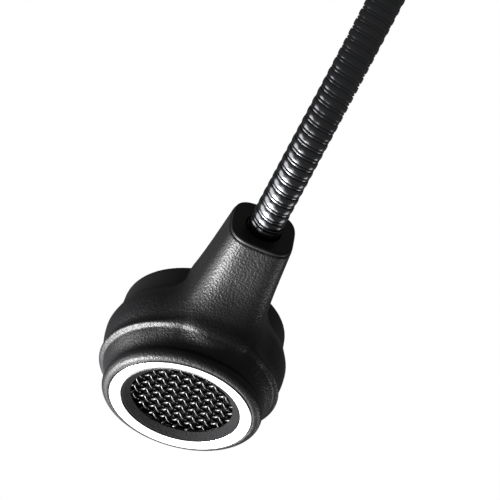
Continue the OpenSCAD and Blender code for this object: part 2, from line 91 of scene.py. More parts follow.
PIVOTS = pivots()
LAST_CHORD = PIVOTS[-1] - PIVOTS[-2]
CHORD = np.linalg.norm(LAST_CHORD)
LEAN_STEP = math.atan2(LAST_CHORD[1], LAST_CHORD[2]) / 2
BEND = 3 * LEAN_STEP
BEND_RADIUS = CHORD / 2 / math.tan(LEAN_STEP / 2)
NECK_WAY = np.array([0, math.sin(BEND), math.cos(BEND)])
MOUTH = PIVOTS[-1] + NECK_WAY * CHORD / 2
RING_PROUD = 0.15


def head_frame():
    """The head's axes as rows, and the middle of its face, from the trim ring."""
    points = node_points("trim_ring")
    middle = points.mean(axis=0)
    normal = np.linalg.svd(points - middle, full_matrices=False)[2][2]
    if normal[2] < 0:
        normal = -normal
    up = unit(NECK_WAY - normal * (NECK_WAY @ normal))
    axes = np.array([np.cross(up, normal), up, normal])
    local = points @ axes.T
    centre = (local.min(axis=0) + local.max(axis=0)) / 2
    centre[2] = local[:, 2].max() - RING_PROUD
    return axes, centre @ axes


AXES, FACE = head_frame()


def to_head(points):
    return (points - FACE) @ AXES.T


def to_world(points):
    """Head millimetres to world metres."""
    return (np.asarray(points) @ AXES + FACE) * MM


def span(name):
    """Smallest and largest radius and height of a node in the head's frame."""
    points = to_head(node_points(name))
    radius = np.hypot(points[:, 0], points[:, 1])
    return radius.min(), radius.max(), points[:, 2].min(), points[:, 2].max()


def shell_measures():
    """The rim's and the ridge's radius, on the side away from the neck."""
    points = to_head(node_points("head_shell"))
    away = points[points[:, 1] > 0]
    radius = np.hypot(away[:, 0], away[:, 1])
    return radius[away[:, 2] > -3].max(), radius.max()


RIM_R, RIDGE_R = shell_measures()
RING_IN, RING_OUT, RING_BACK, _top = span("trim_ring")
VIEW_R, BEZEL_R, MESH_TOP, _top = span("grille_bezel")
COVER_R = span("rear_cover")[1]
CAVITY_R, _out, _low, SEAM_Z = span("cover_gasket")
SLEEVE_R = span("rubber_mount")[1]
_in, FOAM_R, FOAM_BACK, FOAM_FRONT = span("foam_disc")
_in, MESH_R, MESH_BACK, _top = span("wire_mesh")

MOUTH_HEAD = to_head(MOUTH)
NECK_DIR = AXES @ NECK_WAY
NECK_LEN = -MOUTH_HEAD[1] / NECK_DIR[1]
NECK_SIDE = np.array([1.0, 0, 0])
NECK_FRONT = np.cross(NECK_SIDE, NECK_DIR)


def neck_span(name):
    """Smallest and largest radius and distance from the mouth of a node about the neck's axis."""
    points = to_head(node_points(name)) - MOUTH_HEAD
    radius = np.hypot(points @ NECK_SIDE, points @ NECK_FRONT)
    along = points @ NECK_DIR
    return radius.min(), radius.max(), along.min(), along.max()


GOOSE_R, CAP_R, CAP_FRONT, CAP_BACK = neck_span("mouth_bush")
_in, FERRULE_R, _low, FERRULE_BACK = neck_span("neck_ferrule")


# ---------- sizes and colours ----------

def linear(code):
    """An sRGB hex code as linear colour."""
    parts = [int(code[i:i + 2], 16) / 255 for i in (0, 2, 4)]
    return [c / 12.92 if c <= 0.04045 else ((c + 0.055) / 1.055) ** 2.4 for c in parts]


def length(name, about, value):
    return FloatProperty(name=name, description=about, default=value * MM, unit="LENGTH", precision=5)


def colour(name, about, code):
    return FloatVectorProperty(
        name=name, description=about, default=linear(code), subtype="COLOR", size=3, min=0, max=1)


def angle(name, about, degrees):
    return FloatProperty(
        name=name, description=about, default=math.radians(degrees), subtype="ANGLE", precision=5)


class MicSizes(bpy.types.PropertyGroup):
    """Sizes of the visible shapes."""
    cove_depth: length("Cove depth", "How far the cove behind the rim is set in", 0.8)
    ridge_crest: length("Ridge crest", "Depth of the ridge's crest behind the face", 10.3)
    ridge_dip: length("Ridge dip", "How far the band behind the ridge is set in", 0.6)
    neck_front: length("Neck front", "Depth of the neck's front edge where it meets the cove", 6.4)
    neck_blend: length("Neck blend", "Width of the blend between neck and head", 4.2)
    neck_root: length("Neck root", "Radius of the neck where its flare starts", 11.1)
    flare_start: length("Flare start", "Distance from the mouth to the flare", 11)
    mouth_wall: length("Mouth wall", "Wall of the neck round its mouth", 1.25)
    grain: length("Plastic grain", "Size of one bump of the leather grain", 0.58)
    strip_pitch: length("Strip pitch", "Distance from one turn of the gooseneck to the next", 2.95)
    mesh_pitch: length("Mesh pitch", "Distance between the wires of the mesh", 2.5)
    wire: length("Mesh wire", "Diameter of a mesh wire", 0.78)
    mesh_turn: angle("Mesh turn", "Turn of the weave about the head's axis", 10)


class MicColours(bpy.types.PropertyGroup):
    """Colours of the finishes."""
    shell: colour("Shell", "Leather-grain black ABS", "1d1d1f")
    cover: colour("Rear cover", "Satin black ABS", "1b1b1d")
    key: colour("Talk key", "Satin dark grey ABS", "2c2c2f")
    bezel: colour("Bezel", "Granular dark grey ABS", "161618")
    ring: colour("Trim ring", "Polished stainless steel", "f2f3f5")
    strip: colour("Gooseneck", "Black-nickel-plated wound steel", "727376")
    wire: colour("Mesh wire", "Black lacquered wire", "060606")
    foam: colour("Foam", "Open-cell foam", "0b0b0c")
    rubber: colour("Rubber", "Moulded rubber", "171717")


class MicStage(bpy.types.PropertyGroup):
    """The camera's place."""
    azimuth: angle("Azimuth", "Turn of the camera round the microphone", 0.67)
    elevation: angle("Elevation", "Height of the camera over the level", -0.19)
    roll: angle("Roll", "Turn of the camera about its own line of sight", 152.06)
    distance: length("Distance", "From the camera to the head", 1500)
    width: length("Width", "What the camera takes in at the head", 137)
    right: length("Right", "How far the view's middle lies to the right of the face", 19.2)
    up: length("Up", "How far the view's middle lies above the face", 42.8)


def sizes():
    return bpy.context.scene.mic_sizes


def colours():
    return bpy.context.scene.mic_colours


# ---------- mesh helpers ----------

def make_piece(name, vertices, faces, finish):
    """A smooth-shaded mesh object from world-space corners, with its finish."""
    mesh = bpy.data.meshes.new(name)
    mesh.from_pydata(np.asarray(vertices).tolist(), [], faces)
    mesh.validate()
    mesh.materials.append(finish)
    mesh.shade_smooth()
    piece = bpy.data.objects.new(name, mesh)
    bpy.context.scene.collection.objects.link(piece)
    return piece


def settle(piece, body, slot, *nodes):
    """The piece rides on its body and stands for its frame nodes, which are hidden; the record slot is not
    used.
    """
    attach(piece, body)
    if nodes:
        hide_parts(*nodes)


WELD_REACH = 1e-6
CRISP_FOLD = math.radians(32)


def weld(piece):
    """Joins corners that lie on each other, turns the faces outwards and keeps folds crisp."""
    shape = bmesh.new()
    shape.from_mesh(piece.data)
    bmesh.ops.remove_doubles(shape, verts=shape.verts, dist=WELD_REACH)
    bmesh.ops.recalc_face_normals(shape, faces=shape.faces)
    shape.to_mesh(piece.data)
    shape.free()
    piece.data.set_sharp_from_angle(angle=CRISP_FOLD)


def smooth_min(a, b, width):
    mix = np.maximum(width - np.abs(a - b), 0) / width
    return np.minimum(a, b) - mix * mix * width / 4


def smooth_max(a, b, width):
    return -smooth_min(-a, -b, width)


def arc(x, y, r, start, end, steps=8):
    """Points along an arc about (x, y), between two angles in degrees."""
    angles = np.radians(np.linspace(start, end, steps + 1))
    return np.column_stack([x + r * np.cos(angles), y + r * np.sin(angles)])


def bezier(p, q, r, s, steps=14):
    """Points along the curve from p to s that leaves towards q and arrives from r."""
    t = np.linspace(0, 1, steps + 1)[:, None]
    u = 1 - t
    return (u**3 * np.array(p) + 3 * u * u * t * np.array(q)
            + 3 * u * t * t * np.array(r) + t**3 * np.array(s))


def revolve(outline, steps=192):
    """A closed outline of radius and height turned about the head's axis."""
    angles = np.linspace(0, 2 * math.pi, steps, endpoint=False)
    count = len(outline)
    rows = [np.column_stack([outline[:, 0] * math.cos(a), outline[:, 0] * math.sin(a), outline[:, 1]])
            for a in angles]
    faces = []
    for i in range(steps):
        for j in range(count):
            here, there = i * count, ((i + 1) % steps) * count
            k = (j + 1) % count
            faces.append((here + j, there + j, there + k, here + k))
    return np.concatenate(rows), faces


class Profile:
    """Signed distance to a revolved outline, kept on a fine grid of radius and height."""

    def __init__(self, outline, step=0.15, r_max=64.0, z_min=-58.0, z_max=6.0):
        self.step, self.z_min = step, z_min
        r = np.arange(0, r_max, step)
        z = np.arange(z_min, z_max, step)
        rr, zz = np.meshgrid(r, z, indexing="ij")
        best = np.full(rr.shape, 1e9)
        inside = np.zeros(rr.shape, bool)
        ends = np.roll(outline, -1, axis=0)
        for (ax, ay), (bx, by) in zip(outline, ends):
            dx, dy = bx - ax, by - ay
            size = dx * dx + dy * dy
            if size < 1e-12:
                continue
            if max(ax, bx) > 1e-6:
                t = np.clip(((rr - ax) * dx + (zz - ay) * dy) / size, 0, 1)
                best = np.minimum(best, (rr - ax - t * dx) ** 2 + (zz - ay - t * dy) ** 2)
            if ay != by:
                crosses = ((ay > zz) != (by > zz)) & (rr < dx * (zz - ay) / dy + ax)
                inside ^= crosses
        self.grid = np.where(inside, -1, 1) * np.sqrt(best)

    def __call__(self, r, z):
        rows, columns = self.grid.shape
        a = np.clip(r / self.step, 0, rows - 1.001)
        b = np.clip((z - self.z_min) / self.step, 0, columns - 1.001)
        i, j = a.astype(int), b.astype(int)
        a, b = a - i, b - j
        g = self.grid
        return ((g[i, j] * (1 - a) + g[i + 1, j] * a) * (1 - b)
                + (g[i, j + 1] * (1 - a) + g[i + 1, j + 1] * a) * b)


def surface_of(field, low, high, step):
    """The field's zero surface as quads: one corner for each cell that it passes through."""
    axes = [np.arange(low[i], high[i] + step, step) for i in range(3)]
    shape = np.array([len(a) for a in axes])
    values = np.empty(shape)
    yy, zz = np.meshgrid(axes[1], axes[2], indexing="ij")
    for i, x in enumerate(axes[0]):
        slab = np.column_stack([np.full(yy.size, x), yy.ravel(), zz.ravel()])
        values[i] = field(slab).reshape(yy.shape)
    negative = values < 0
    cells = shape - 1
    total = int(np.prod(cells))
    sums = np.zeros((total, 3))
    counts = np.zeros(total)
    quads = []
    for axis in range(3):
        first = [slice(None)] * 3
        second = [slice(None)] * 3
        first[axis], second[axis] = slice(0, -1), slice(1, None)
        before, after = values[tuple(first)], values[tuple(second)]
        crossing = np.argwhere(negative[tuple(first)] != negative[tuple(second)])
        others = [a for a in range(3) if a != axis]
        keep = np.all((crossing[:, others] > 0) & (crossing[:, others] < shape[others] - 1), axis=1)
        crossing = crossing[keep]
        index = tuple(crossing.T)
        point = crossing.astype(float)
        point[:, axis] += before[index] / (before[index] - after[index])
        ring = []
        for du, dv in ((1, 1), (0, 1), (0, 0), (1, 0)):
            cell = crossing.copy()
            cell[:, others[0]] -= du
            cell[:, others[1]] -= dv
            flat = np.ravel_multi_index(tuple(cell.T), tuple(cells))
            for k in range(3):
                sums[:, k] += np.bincount(flat, point[:, k], total)
            counts += np.bincount(flat, minlength=total)
            ring.append(flat)
        quad = np.column_stack(ring)
        outward = negative[tuple(first)][index]
        if axis == 1:
            outward = ~outward
        quad[~outward] = quad[~outward][:, ::-1]
        quads.append(quad)
    used = np.flatnonzero(counts)
    places = sums[used] / counts[used, None] * step + np.array(low)
    number = np.full(total, -1)
    number[used] = np.arange(len(used))
    faces = number[np.concatenate(quads)]
    return polish(field, places, step), faces.tolist()


def polish(field, places, step):
    """Moves the corners on to the surface itself, by a few short steps down the slope."""
    rounds, nudge, least_slope, stride = 4, 0.05, 0.2, 0.3
    for _round in range(rounds):
        here = field(places)
        slope = np.column_stack([
            (field(places + nudge * way) - field(places - nudge * way)) / (2 * nudge)
            for way in np.eye(3)])
        steep = np.maximum((slope ** 2).sum(axis=1), least_slope)
        move = -(here / steep)[:, None] * slope
        size = np.linalg.norm(move, axis=1)
        move *= np.minimum(1, stride * step / np.maximum(size, 1e-9))[:, None]
        places = places + move
    return places


# ---------- materials ----------

def add(tree, kind, settings=None, links=None):
    """Adds one node, sets its properties and input values, and links its inputs."""
    node = tree.nodes.new("ShaderNode" + kind)
    for key, value in (settings or {}).items():
        if isinstance(key, str) and hasattr(node, key):
            setattr(node, key, value)
        else:
            node.inputs[key].default_value = value
    for key, source in (links or {}).items():
        tree.links.new(source, node.inputs[key])
    return node


def new_finish(name, tint, roughness, metallic=0.0, ior=None):
    """A material with its shader's fixed values set on the sockets."""
    material = bpy.data.materials.new(name)
    material.use_nodes = True
    shader = material.node_tree.nodes["Principled BSDF"]
    shader.inputs["Base Color"].default_value = (*tint, 1)
    shader.inputs["Roughness"].default_value = roughness
    shader.inputs["Metallic"].default_value = metallic
    if ior is not None:
        shader.inputs["IOR"].default_value = ior
    return material, material.node_tree, shader


def place(tree):
    """The surface's own position, in metres."""
    return add(tree, "TexCoord").outputs["Object"]


def mottle(tree, shader, tint, low, high, size, spread=0.06):
    """Uneven roughness between low and high and a slight change of shade, in patches of one size."""
    where = place(tree)
    noise = add(tree, "TexNoise", {"Scale": 1 / (size * MM), "Detail": 3.0}, {"Vector": where})
    rough = add(tree, "MapRange", {"To Min": low, "To Max": high}, {"Value": noise.outputs["Fac"]})
    dark = [c * (1 - spread) for c in tint]
    light = [min(1, c * (1 + spread)) for c in tint]
    shade = add(tree, "Mix", {"data_type": "RGBA"}, {0: noise.outputs["Fac"]})
    colour_sockets = [s for s in shade.inputs if s.type == "RGBA"]
    colour_sockets[0].default_value = (*dark, 1)
    colour_sockets[1].default_value = (*light, 1)
    result = next(s for s in shade.outputs if s.type == "RGBA")
    tree.links.new(rough.outputs["Result"], shader.inputs["Roughness"])
    tree.links.new(result, shader.inputs["Base Color"])
    return where


def grain_bump(tree, shader, where, size, depth, strength):
    """Rounded pebbles with creases between them, broken up by a finer grain."""
    bend = add(tree, "TexNoise", {"Scale": 0.6 / size, "Detail": 2.0}, {"Vector": where})
    shift = add(tree, "VectorMath", {"operation": "SCALE", "Scale": size * 0.9}, {0: bend.outputs["Color"]})
    warped = add(tree, "VectorMath", {"operation": "ADD"}, {0: where, 1: shift.outputs["Vector"]})
    cells = add(tree, "TexVoronoi", {"feature": "SMOOTH_F1", "Scale": 1 / size, "Smoothness": 0.7},
                {"Vector": warped.outputs["Vector"]})
    fine = add(tree, "TexNoise", {"Scale": 3 / size, "Detail": 2.0}, {"Vector": where})
    fine_part = add(tree, "Math", {"operation": "MULTIPLY", 1: 0.35}, {0: fine.outputs["Fac"]})
    height = add(tree, "Math", {"operation": "SUBTRACT"},
                 {0: fine_part.outputs["Value"], 1: cells.outputs["Distance"]})
    bump = add(tree, "Bump", {"Strength": strength, "Distance": depth}, {"Height": height.outputs["Value"]})
    tree.links.new(bump.outputs["Normal"], shader.inputs["Normal"])


def moulded_grain_abs():
    """ABS moulded in an etched tool: leather-like pebbles that break up every highlight."""
    tint = colours().shell
    finish, tree, shader = new_finish("moulded_grain_abs", tint, 0.38, ior=1.53)
    where = mottle(tree, shader, tint, 0.33, 0.42, 1.6)
    grain_bump(tree, shader, where, sizes().grain, 0.13 * MM, 0.75)
    return finish


def satin_abs(name, tint, size=0.35):
    """ABS moulded in a spark-eroded tool: an even satin with a grain finer than the shell's."""
    finish, tree, shader = new_finish(name, tint, 0.46, ior=1.53)
    where = mottle(tree, shader, tint, 0.42, 0.52, 2.5)
    grain_bump(tree, shader, where, size * MM, 0.05 * MM, 0.4)
    return finish


def granular_abs():
    """ABS moulded in a coarse blasted tool: its pits trap the light, so it is dull with sand-like specks."""
    tint = colours().bezel
    finish, tree, shader = new_finish("blasted_granular_abs", tint, 0.75, ior=1.53)
    where = mottle(tree, shader, tint, 0.65, 0.88, 0.5, 0.35)
    shader.inputs["Specular IOR Level"].default_value = 0.2
    grain_bump(tree, shader, where, 0.4 * MM, 0.2 * MM, 0.9)
    return finish


def metal(name, tint, low, high, patch, groove=None):
    """A bare metal: patchy roughness, and turning marks where a groove size is given."""
    finish, tree, shader = new_finish(name, tint, (low + high) / 2, metallic=1.0)
    where = mottle(tree, shader, tint, low, high, patch, 0.04)
    if groove:
        marks = add(tree, "TexNoise", {"Scale": 1 / (groove * MM), "Detail": 4.0}, {"Vector": where})
        bump = add(tree, "Bump", {"Strength": 0.12, "Distance": 0.02 * MM}, {"Height": marks.outputs["Fac"]})
        tree.links.new(bump.outputs["Normal"], shader.inputs["Normal"])
    return finish


def lacquered_wire():
    """Steel wire dipped in black lacquer: near black, with small sharp highlights."""
    tint = colours().wire
    finish, tree, shader = new_finish("black_lacquered_wire", tint, 0.16, ior=1.5)
    mottle(tree, shader, tint, 0.12, 0.22, 0.8, 0.2)
    shader.inputs["Coat Weight"].default_value = 1.0
    shader.inputs["Coat Roughness"].default_value = 0.08
    return finish


def open_cell_foam():
    """Reticulated polyurethane foam: matt, pitted with open cells, drawn coarse to show."""
    tint = colours().foam
    finish, tree, shader = new_finish("open_cell_foam", tint, 0.95, ior=1.45)
    where = mottle(tree, shader, tint, 0.9, 1.0, 0.5, 0.5)
    grain_bump(tree, shader, where, 0.45 * MM, 0.2 * MM, 0.9)
    return finish


def moulded_rubber():
    """Vulcanised rubber: dull black with a faint dusty bloom."""
    tint = colours().rubber
    finish, tree, shader = new_finish("moulded_rubber", tint, 0.75, ior=1.52)
    where = mottle(tree, shader, tint, 0.65, 0.85, 3.0, 0.15)
    grain_bump(tree, shader, where, 0.5 * MM, 0.05 * MM, 0.4)
    return finish


def clear_acrylic():
    """Cast acrylic: clear and glossy, with a trace of moulding ripple."""
    finish, tree, shader = new_finish("clear_acrylic", linear("f2f6f6"), 0.08, ior=1.49)
    mottle(tree, shader, linear("f2f6f6"), 0.05, 0.12, 4.0, 0.01)
    shader.inputs["Transmission Weight"].default_value = 0.9
    return finish


def glass_epoxy():
    """Woven glass in epoxy under green solder resist: glossy, with the weave just showing."""
    tint = linear("1d5a35")
    finish, tree, shader = new_finish("glass_epoxy_board", tint, 0.35, ior=1.55)
    where = mottle(tree, shader, tint, 0.28, 0.42, 3.0, 0.15)
    weave = add(tree, "TexWave", {"Scale": 1 / (1.2 * MM), "Distortion": 0.5}, {"Vector": where})
    bump = add(tree, "Bump", {"Strength": 0.2, "Distance": 0.03 * MM}, {"Height": weave.outputs["Fac"]})
    tree.links.new(bump.outputs["Normal"], shader.inputs["Normal"])
    return finish


def finish_nodes(finish, *names):
    """Gives frame nodes their material."""
    for name in names:
        slots = frame["nodes"][name].material_slots
        if not slots:
            frame["nodes"][name].data.materials.append(finish)
        for slot in slots:
            slot.material = finish


# ---------- head ----------

def head_outline():
    """The rim, the cove behind it, the ridge, the dip that it hides, the bulge and the seam's edge."""
    values = sizes()
    rim_round, crest_round, bulge = 2.1, 0.6, RIDGE_R + 0.1
    rim_z, rim_end, cove_z = -0.2, -2.4, -4.8
    cove, crest = RIM_R - values.cove_depth / MM, -values.ridge_crest / MM
    dip, dip_z, bulge_z = RIDGE_R - values.ridge_dip / MM, crest - 2.4, crest - 8
    edge_r, floor_r = RIDGE_R - 1.2, RIDGE_R - 1.6
    return np.concatenate([
        [[0, rim_z]],
        arc(RIM_R - rim_round, rim_z - rim_round, rim_round, 90, 0, 14),
        bezier([RIM_R, rim_end], [RIM_R, -3.4], [cove, -3.6], [cove, cove_z]),
        bezier([cove, cove_z], [cove + 0.2, -6.4], [RIDGE_R - 2, crest + 2.4], [RIDGE_R - 1.5, crest + 1]),
        arc(RIDGE_R - crest_round, crest, crest_round, 60, -60),
        bezier([RIDGE_R - 0.5, crest - 0.9], [dip, crest - 1.3], [dip, crest - 1.8], [dip, dip_z]),
        bezier([dip, dip_z], [bulge, crest - 5], [bulge, crest - 6], [bulge, bulge_z]),
        bezier([bulge, bulge_z], [bulge, crest - 9.6],
               [RIDGE_R - 0.8, SEAM_Z + 1.6], [edge_r, SEAM_Z + 0.4]),
        [[floor_r, SEAM_Z], [0, SEAM_Z]],
    ])


NECK_SQUARENESS = 3.3


def across_neck(points):
    """Distance from the mouth, rounded-square radius, plain radius and share facing forwards."""
    local = points - MOUTH_HEAD
    x, y = local @ NECK_SIDE, local @ NECK_FRONT
    power = NECK_SQUARENESS
    plain = np.hypot(x, y)
    rounded = (np.abs(x) ** power + np.abs(y) ** power) ** (1 / power)
    return local @ NECK_DIR, rounded, plain, np.clip(y / np.maximum(plain, 0.1), 0, 1)


def head_field():
    """Signed distance to the head shell, negative inside the plastic."""
    values = sizes()
    blend, front_z = values.neck_blend / MM, -values.neck_front / MM
    wall, root_r = values.mouth_wall / MM, values.neck_root / MM
    flare_from = values.flare_start / MM
    head = Profile(head_outline())
    mouth_r = CAP_R + 0.2
    flare_len, flare_power, flare_out, side_share, cone_len = 18.5, 2.4, 6.2, 0.12, 22
    cove, front_slope, tongue = RIM_R - values.cove_depth / MM, 0.3, 0.04
    slope_run, tongue_run = 6, 90
    mouth_round, front_round, bore_round = 0.7, 1.4, 0.3
    lead_r, room_front, sleeve_back = 2.8, -12.5, -16
    sleeve_wall, sleeve_ahead, cover_gap, fit = 2.2, 4, 0.4, 0.1
    far_back, ahead, through = -90, 9, -30

    def cylinder(r, z, radius, z_low, z_high):
        return np.maximum(r - radius, np.maximum(z_low - z, z - z_high))

    def field(points):
        r, z = np.hypot(points[:, 0], points[:, 1]), points[:, 2]
        along, rounded, plain, forward = across_neck(points)
        flare = np.clip((along - flare_from) / flare_len, 0, 1.2) ** flare_power * flare_out
        flare *= side_share + (1 - side_share) * forward ** 3
        neck_r = mouth_r + (root_r - mouth_r) * np.clip(along / cone_len, 0, 1.3) + flare
        neck = smooth_max(rounded - neck_r, -along, mouth_round)
        neck = np.maximum(neck, along - NECK_LEN)
        front_cut = (z - front_z + front_slope * np.clip(r - cove, 0, slope_run)
                     + tongue * np.minimum(points[:, 0] ** 2, tongue_run))
        neck = smooth_max(neck, front_cut, front_round)
        solid = smooth_min(head(r, z), neck, blend)
        cavity = np.minimum(cylinder(r, z, CAVITY_R, far_back, room_front),
                            cylinder(r, z, COVER_R + cover_gap, far_back, SEAM_Z))
        sleeve = np.maximum(
            cylinder(r, z, SLEEVE_R + sleeve_wall, sleeve_back, room_front + sleeve_ahead), SLEEVE_R - r)
        solid = np.minimum(np.maximum(solid, -cavity), sleeve)
        seats = np.minimum(cylinder(r, z, RING_OUT + fit, RING_BACK, ahead),
                           cylinder(r, z, BEZEL_R + fit, MESH_TOP, ahead))
        seats = np.minimum(seats, cylinder(r, z, MESH_R + fit, MESH_BACK - fit, ahead))
        seats = np.minimum(seats, cylinder(r, z, SLEEVE_R, through, ahead))
        hollow = np.maximum(rounded - (mouth_r - wall), along - CAP_BACK)
        hollow = np.minimum(hollow, np.maximum(plain - FERRULE_R - fit, along - FERRULE_BACK - fit))
        hollow = np.minimum(hollow, np.maximum(plain - lead_r, along - (NECK_LEN - CAVITY_R)))
        solid = smooth_max(solid, -hollow, bore_round)
        return np.maximum(solid, -seats)

    return field


def build_head_shell():
    step = 0.42
    reach, below_mouth, behind_mouth, before_face = RIDGE_R + 1.5, 4.5, 11, 1.2
    low = [-reach, MOUTH_HEAD[1] - below_mouth, MOUTH_HEAD[2] - behind_mouth]
    vertices, faces = surface_of(head_field(), low, [reach, reach, before_face], step)
    piece = make_piece("head_shell_moulding", to_world(vertices), faces, moulded_grain_abs())
    settle(piece, "head", "textured_plastic", "head_shell")


def build_trim_ring():
    """A spun ring whose face dips a little towards the mesh, with small rounded edges."""
    edge, dome, slope = 0.2, 0.04, 0.1
    half = (RING_OUT - RING_IN) / 2 - edge
    middle = (RING_OUT + RING_IN) / 2
    face = [[middle + half * t, RING_PROUD - dome * t * t - slope * (1 - t)]
            for t in np.linspace(1, -1, 21)]
    outline = np.concatenate([
        [[RING_OUT, RING_BACK]],
        arc(RING_OUT - edge, RING_PROUD - dome - edge, edge, 0, 80, 6),
        face,
        arc(RING_IN + edge, RING_PROUD - dome - 2 * slope - edge, edge, 100, 180, 6),
        [[RING_IN, RING_BACK]],
    ])
    vertices, faces = revolve(outline)
    finish = metal("polished_stainless", colours().ring, 0.1, 0.17, 6, 0.25)
    settle(make_piece("trim_ring_spun", to_world(vertices), faces, finish),
           "head", "polished_steel", "trim_ring")


def build_mouth_cap():
    """The moulded cap in the neck's mouth: a rounded square outside, round at the gooseneck."""
    edge, steps, hole, shoulder, fit = 0.6, 160, GOOSE_R + 0.3, 0.12, 0.1
    spigot = CAP_R + fit - sizes().mouth_wall / MM
    square, between, round_power = NECK_SQUARENESS, 2.3, 2.0
    rings = [(spigot, CAP_BACK - fit, square), (spigot, shoulder, square), (CAP_R, shoulder, square)]
    rings += [(r, z, square) for r, z in arc(CAP_R - edge, CAP_FRONT + edge, edge, 0, -90)]
    rings += [(CAP_R - 1.3, CAP_FRONT + 0.05, square), ((CAP_R + hole) / 2, CAP_FRONT + 0.16, between),
              (hole + 0.25, CAP_FRONT + 0.22, round_power), (hole, CAP_FRONT + 0.45, round_power),
              (hole, CAP_BACK - fit, round_power)]
    angles = np.linspace(0, 2 * math.pi, steps, endpoint=False)
    c, d = np.cos(angles), np.sin(angles)
    corners = []
    for radius, z, power in rings:
        r = radius / (np.abs(c) ** power + np.abs(d) ** power) ** (1 / power)
        corners.append(MOUTH_HEAD + (r * c)[:, None] * NECK_SIDE
                       + (r * d)[:, None] * NECK_FRONT + z * NECK_DIR)
    faces = []
    for i in range(len(rings)):
        a, b = i * steps, (i + 1) % len(rings) * steps
        faces += [(a + j, b + j, b + (j + 1) % steps, a + (j + 1) % steps) for j in range(steps)]
    finish = satin_abs("satin_cap_abs", colours().bezel, 0.5)
    piece = make_piece("mouth_cap_moulding", to_world(np.concatenate(corners)), faces, finish)
    weld(piece)
    settle(piece, "head", "cover_plastic", "mouth_bush")


# ---------- grille ----------

def woven_wire(offset, turn, phase):
    """One crimped wire of the plain weave as rings of corners, in the head's frame."""
    values = sizes()
    pitch, radius = values.mesh_pitch / MM, values.wire / MM / 2
    edge_gap, sides, steps_per_pitch, clearance = 0.4, 10, 12, 1.02
    half = math.sqrt(max(MESH_R ** 2 - offset ** 2, 0)) - edge_gap
    if half < pitch:
        return None
    steps = int(2 * half / (pitch / steps_per_pitch))
    s = np.linspace(-half, half, steps + 1)
    lift = radius * clearance * np.cos(math.pi * s / pitch + phase)
    middle = np.column_stack([s, np.full_like(s, offset), lift])
    way = np.gradient(middle, axis=0)
    way /= np.linalg.norm(way, axis=1)[:, None]
    side = np.array([0.0, 1.0, 0.0])
    over = np.cross(way, side)
    angles = np.linspace(0, 2 * math.pi, sides, endpoint=False)
    ring = (middle[:, None] + radius * (np.cos(angles)[None, :, None] * side
            + np.sin(angles)[None, :, None] * over[:, None])).reshape(-1, 3)
    c, d = math.cos(turn), math.sin(turn)
    return ring @ np.array([[c, d, 0], [-d, c, 0], [0, 0, 1]]), steps + 1, sides


def tube_faces(start, rings, sides):
    """The faces of a closed tube whose rings of corners follow each other from start."""
    faces = [tuple(start + j for j in range(sides - 1, -1, -1)),
             tuple(start + (rings - 1) * sides + j for j in range(sides))]
    for i in range(rings - 1):
        for j in range(sides):
            k = (j + 1) % sides
            a, b = start + i * sides, start + (i + 1) * sides
            faces.append((a + j, a + k, b + k, b + j))
    return faces


def build_wire_mesh():
    """Two families of crimped wires across each other, on the slant, with a flat hem round them."""
    pitch, wire = sizes().mesh_pitch / MM, sizes().wire / MM
    hem_in, hem_out, hem_top, hem_back = VIEW_R + 0.3, MESH_R - 0.1, MESH_TOP - 0.1, MESH_TOP - 1.2
    corners, faces, count = [], [], 0
    reach = int(MESH_R / pitch)
    diagonal, turned = math.radians(45), sizes().mesh_turn
    for family, turn in enumerate((turned + diagonal, turned - diagonal)):
        for i in range(-reach, reach + 1):
            made = woven_wire(i * pitch, turn, math.pi * ((i + family) % 2))
            if made is None:
                continue
            ring, rings, sides = made
            corners.append(ring)
            faces += tube_faces(count, rings, sides)
            count += len(ring)
    corners = np.concatenate(corners)
    corners[:, 2] += MESH_TOP - wire * 1.05
    hem, hem_faces = revolve(np.array([
        [hem_in, hem_top], [hem_out, hem_top], [hem_out, hem_back], [hem_in, hem_back]])[::-1], 96)
    faces += [tuple(count + k for k in face) for face in hem_faces]
    piece = make_piece("woven_wire_mesh", to_world(np.concatenate([corners, hem])), faces, lacquered_wire())
    settle(piece, "head", "mesh_steel", "wire_mesh")


def build_foam():
    """A die-cut foam disc: crowned, its edge pulled in, its face gently uneven."""
    rings, steps = 40, 128
    rng = np.random.default_rng(7)
    phases = rng.uniform(0, 2 * math.pi, 6)
    front, back = FOAM_FRONT - 0.12, FOAM_BACK + 0.05
    half, centre = (front - back) / 2, (front + back) / 2
    unevenness, pulled_in, wave_share, hub = 0.05, 0.96, 0.4, 0.02
    corners, faces = [], []
    for side in (1, -1):
        for i in range(rings + 1):
            share = i / rings
            r = max(FOAM_R * share, hub)
            for j in range(steps):
                a = 2 * math.pi * j / steps
                x, y = r * math.cos(a), r * math.sin(a)
                edge = (1 - share ** 6) ** 0.5
                wave = unevenness * sum(
                    math.sin(x * (0.7 + 0.2 * k) + y * (1.1 - 0.3 * k) + phases[k]) for k in range(6)) / 3
                rise = half * edge * pulled_in + wave * edge * wave_share
                corners.append([x, y, centre + side * rise])
    ring_count = rings + 1
    for side in (0, 1):
        for i in range(rings):
            for j in range(steps):
                k = (j + 1) % steps
                a = (side * ring_count + i) * steps
                b = a + steps
                quad = (a + j, b + j, b + k, a + k)
                faces.append(quad if side == 0 else quad[::-1])
    for side in (0, 1):
        start = side * ring_count * steps
        cap = tuple(start + j for j in range(steps))
        faces.append(cap if side == 0 else cap[::-1])
    last, other = rings * steps, (ring_count + rings) * steps
    for j in range(steps):
        k = (j + 1) % steps
        faces.append((last + j, other + j, other + k, last + k))
    piece = make_piece("foam_windscreen", to_world(corners), faces, open_cell_foam())
    settle(piece, "head", "foam", "foam_disc")


# ---------- gooseneck ----------

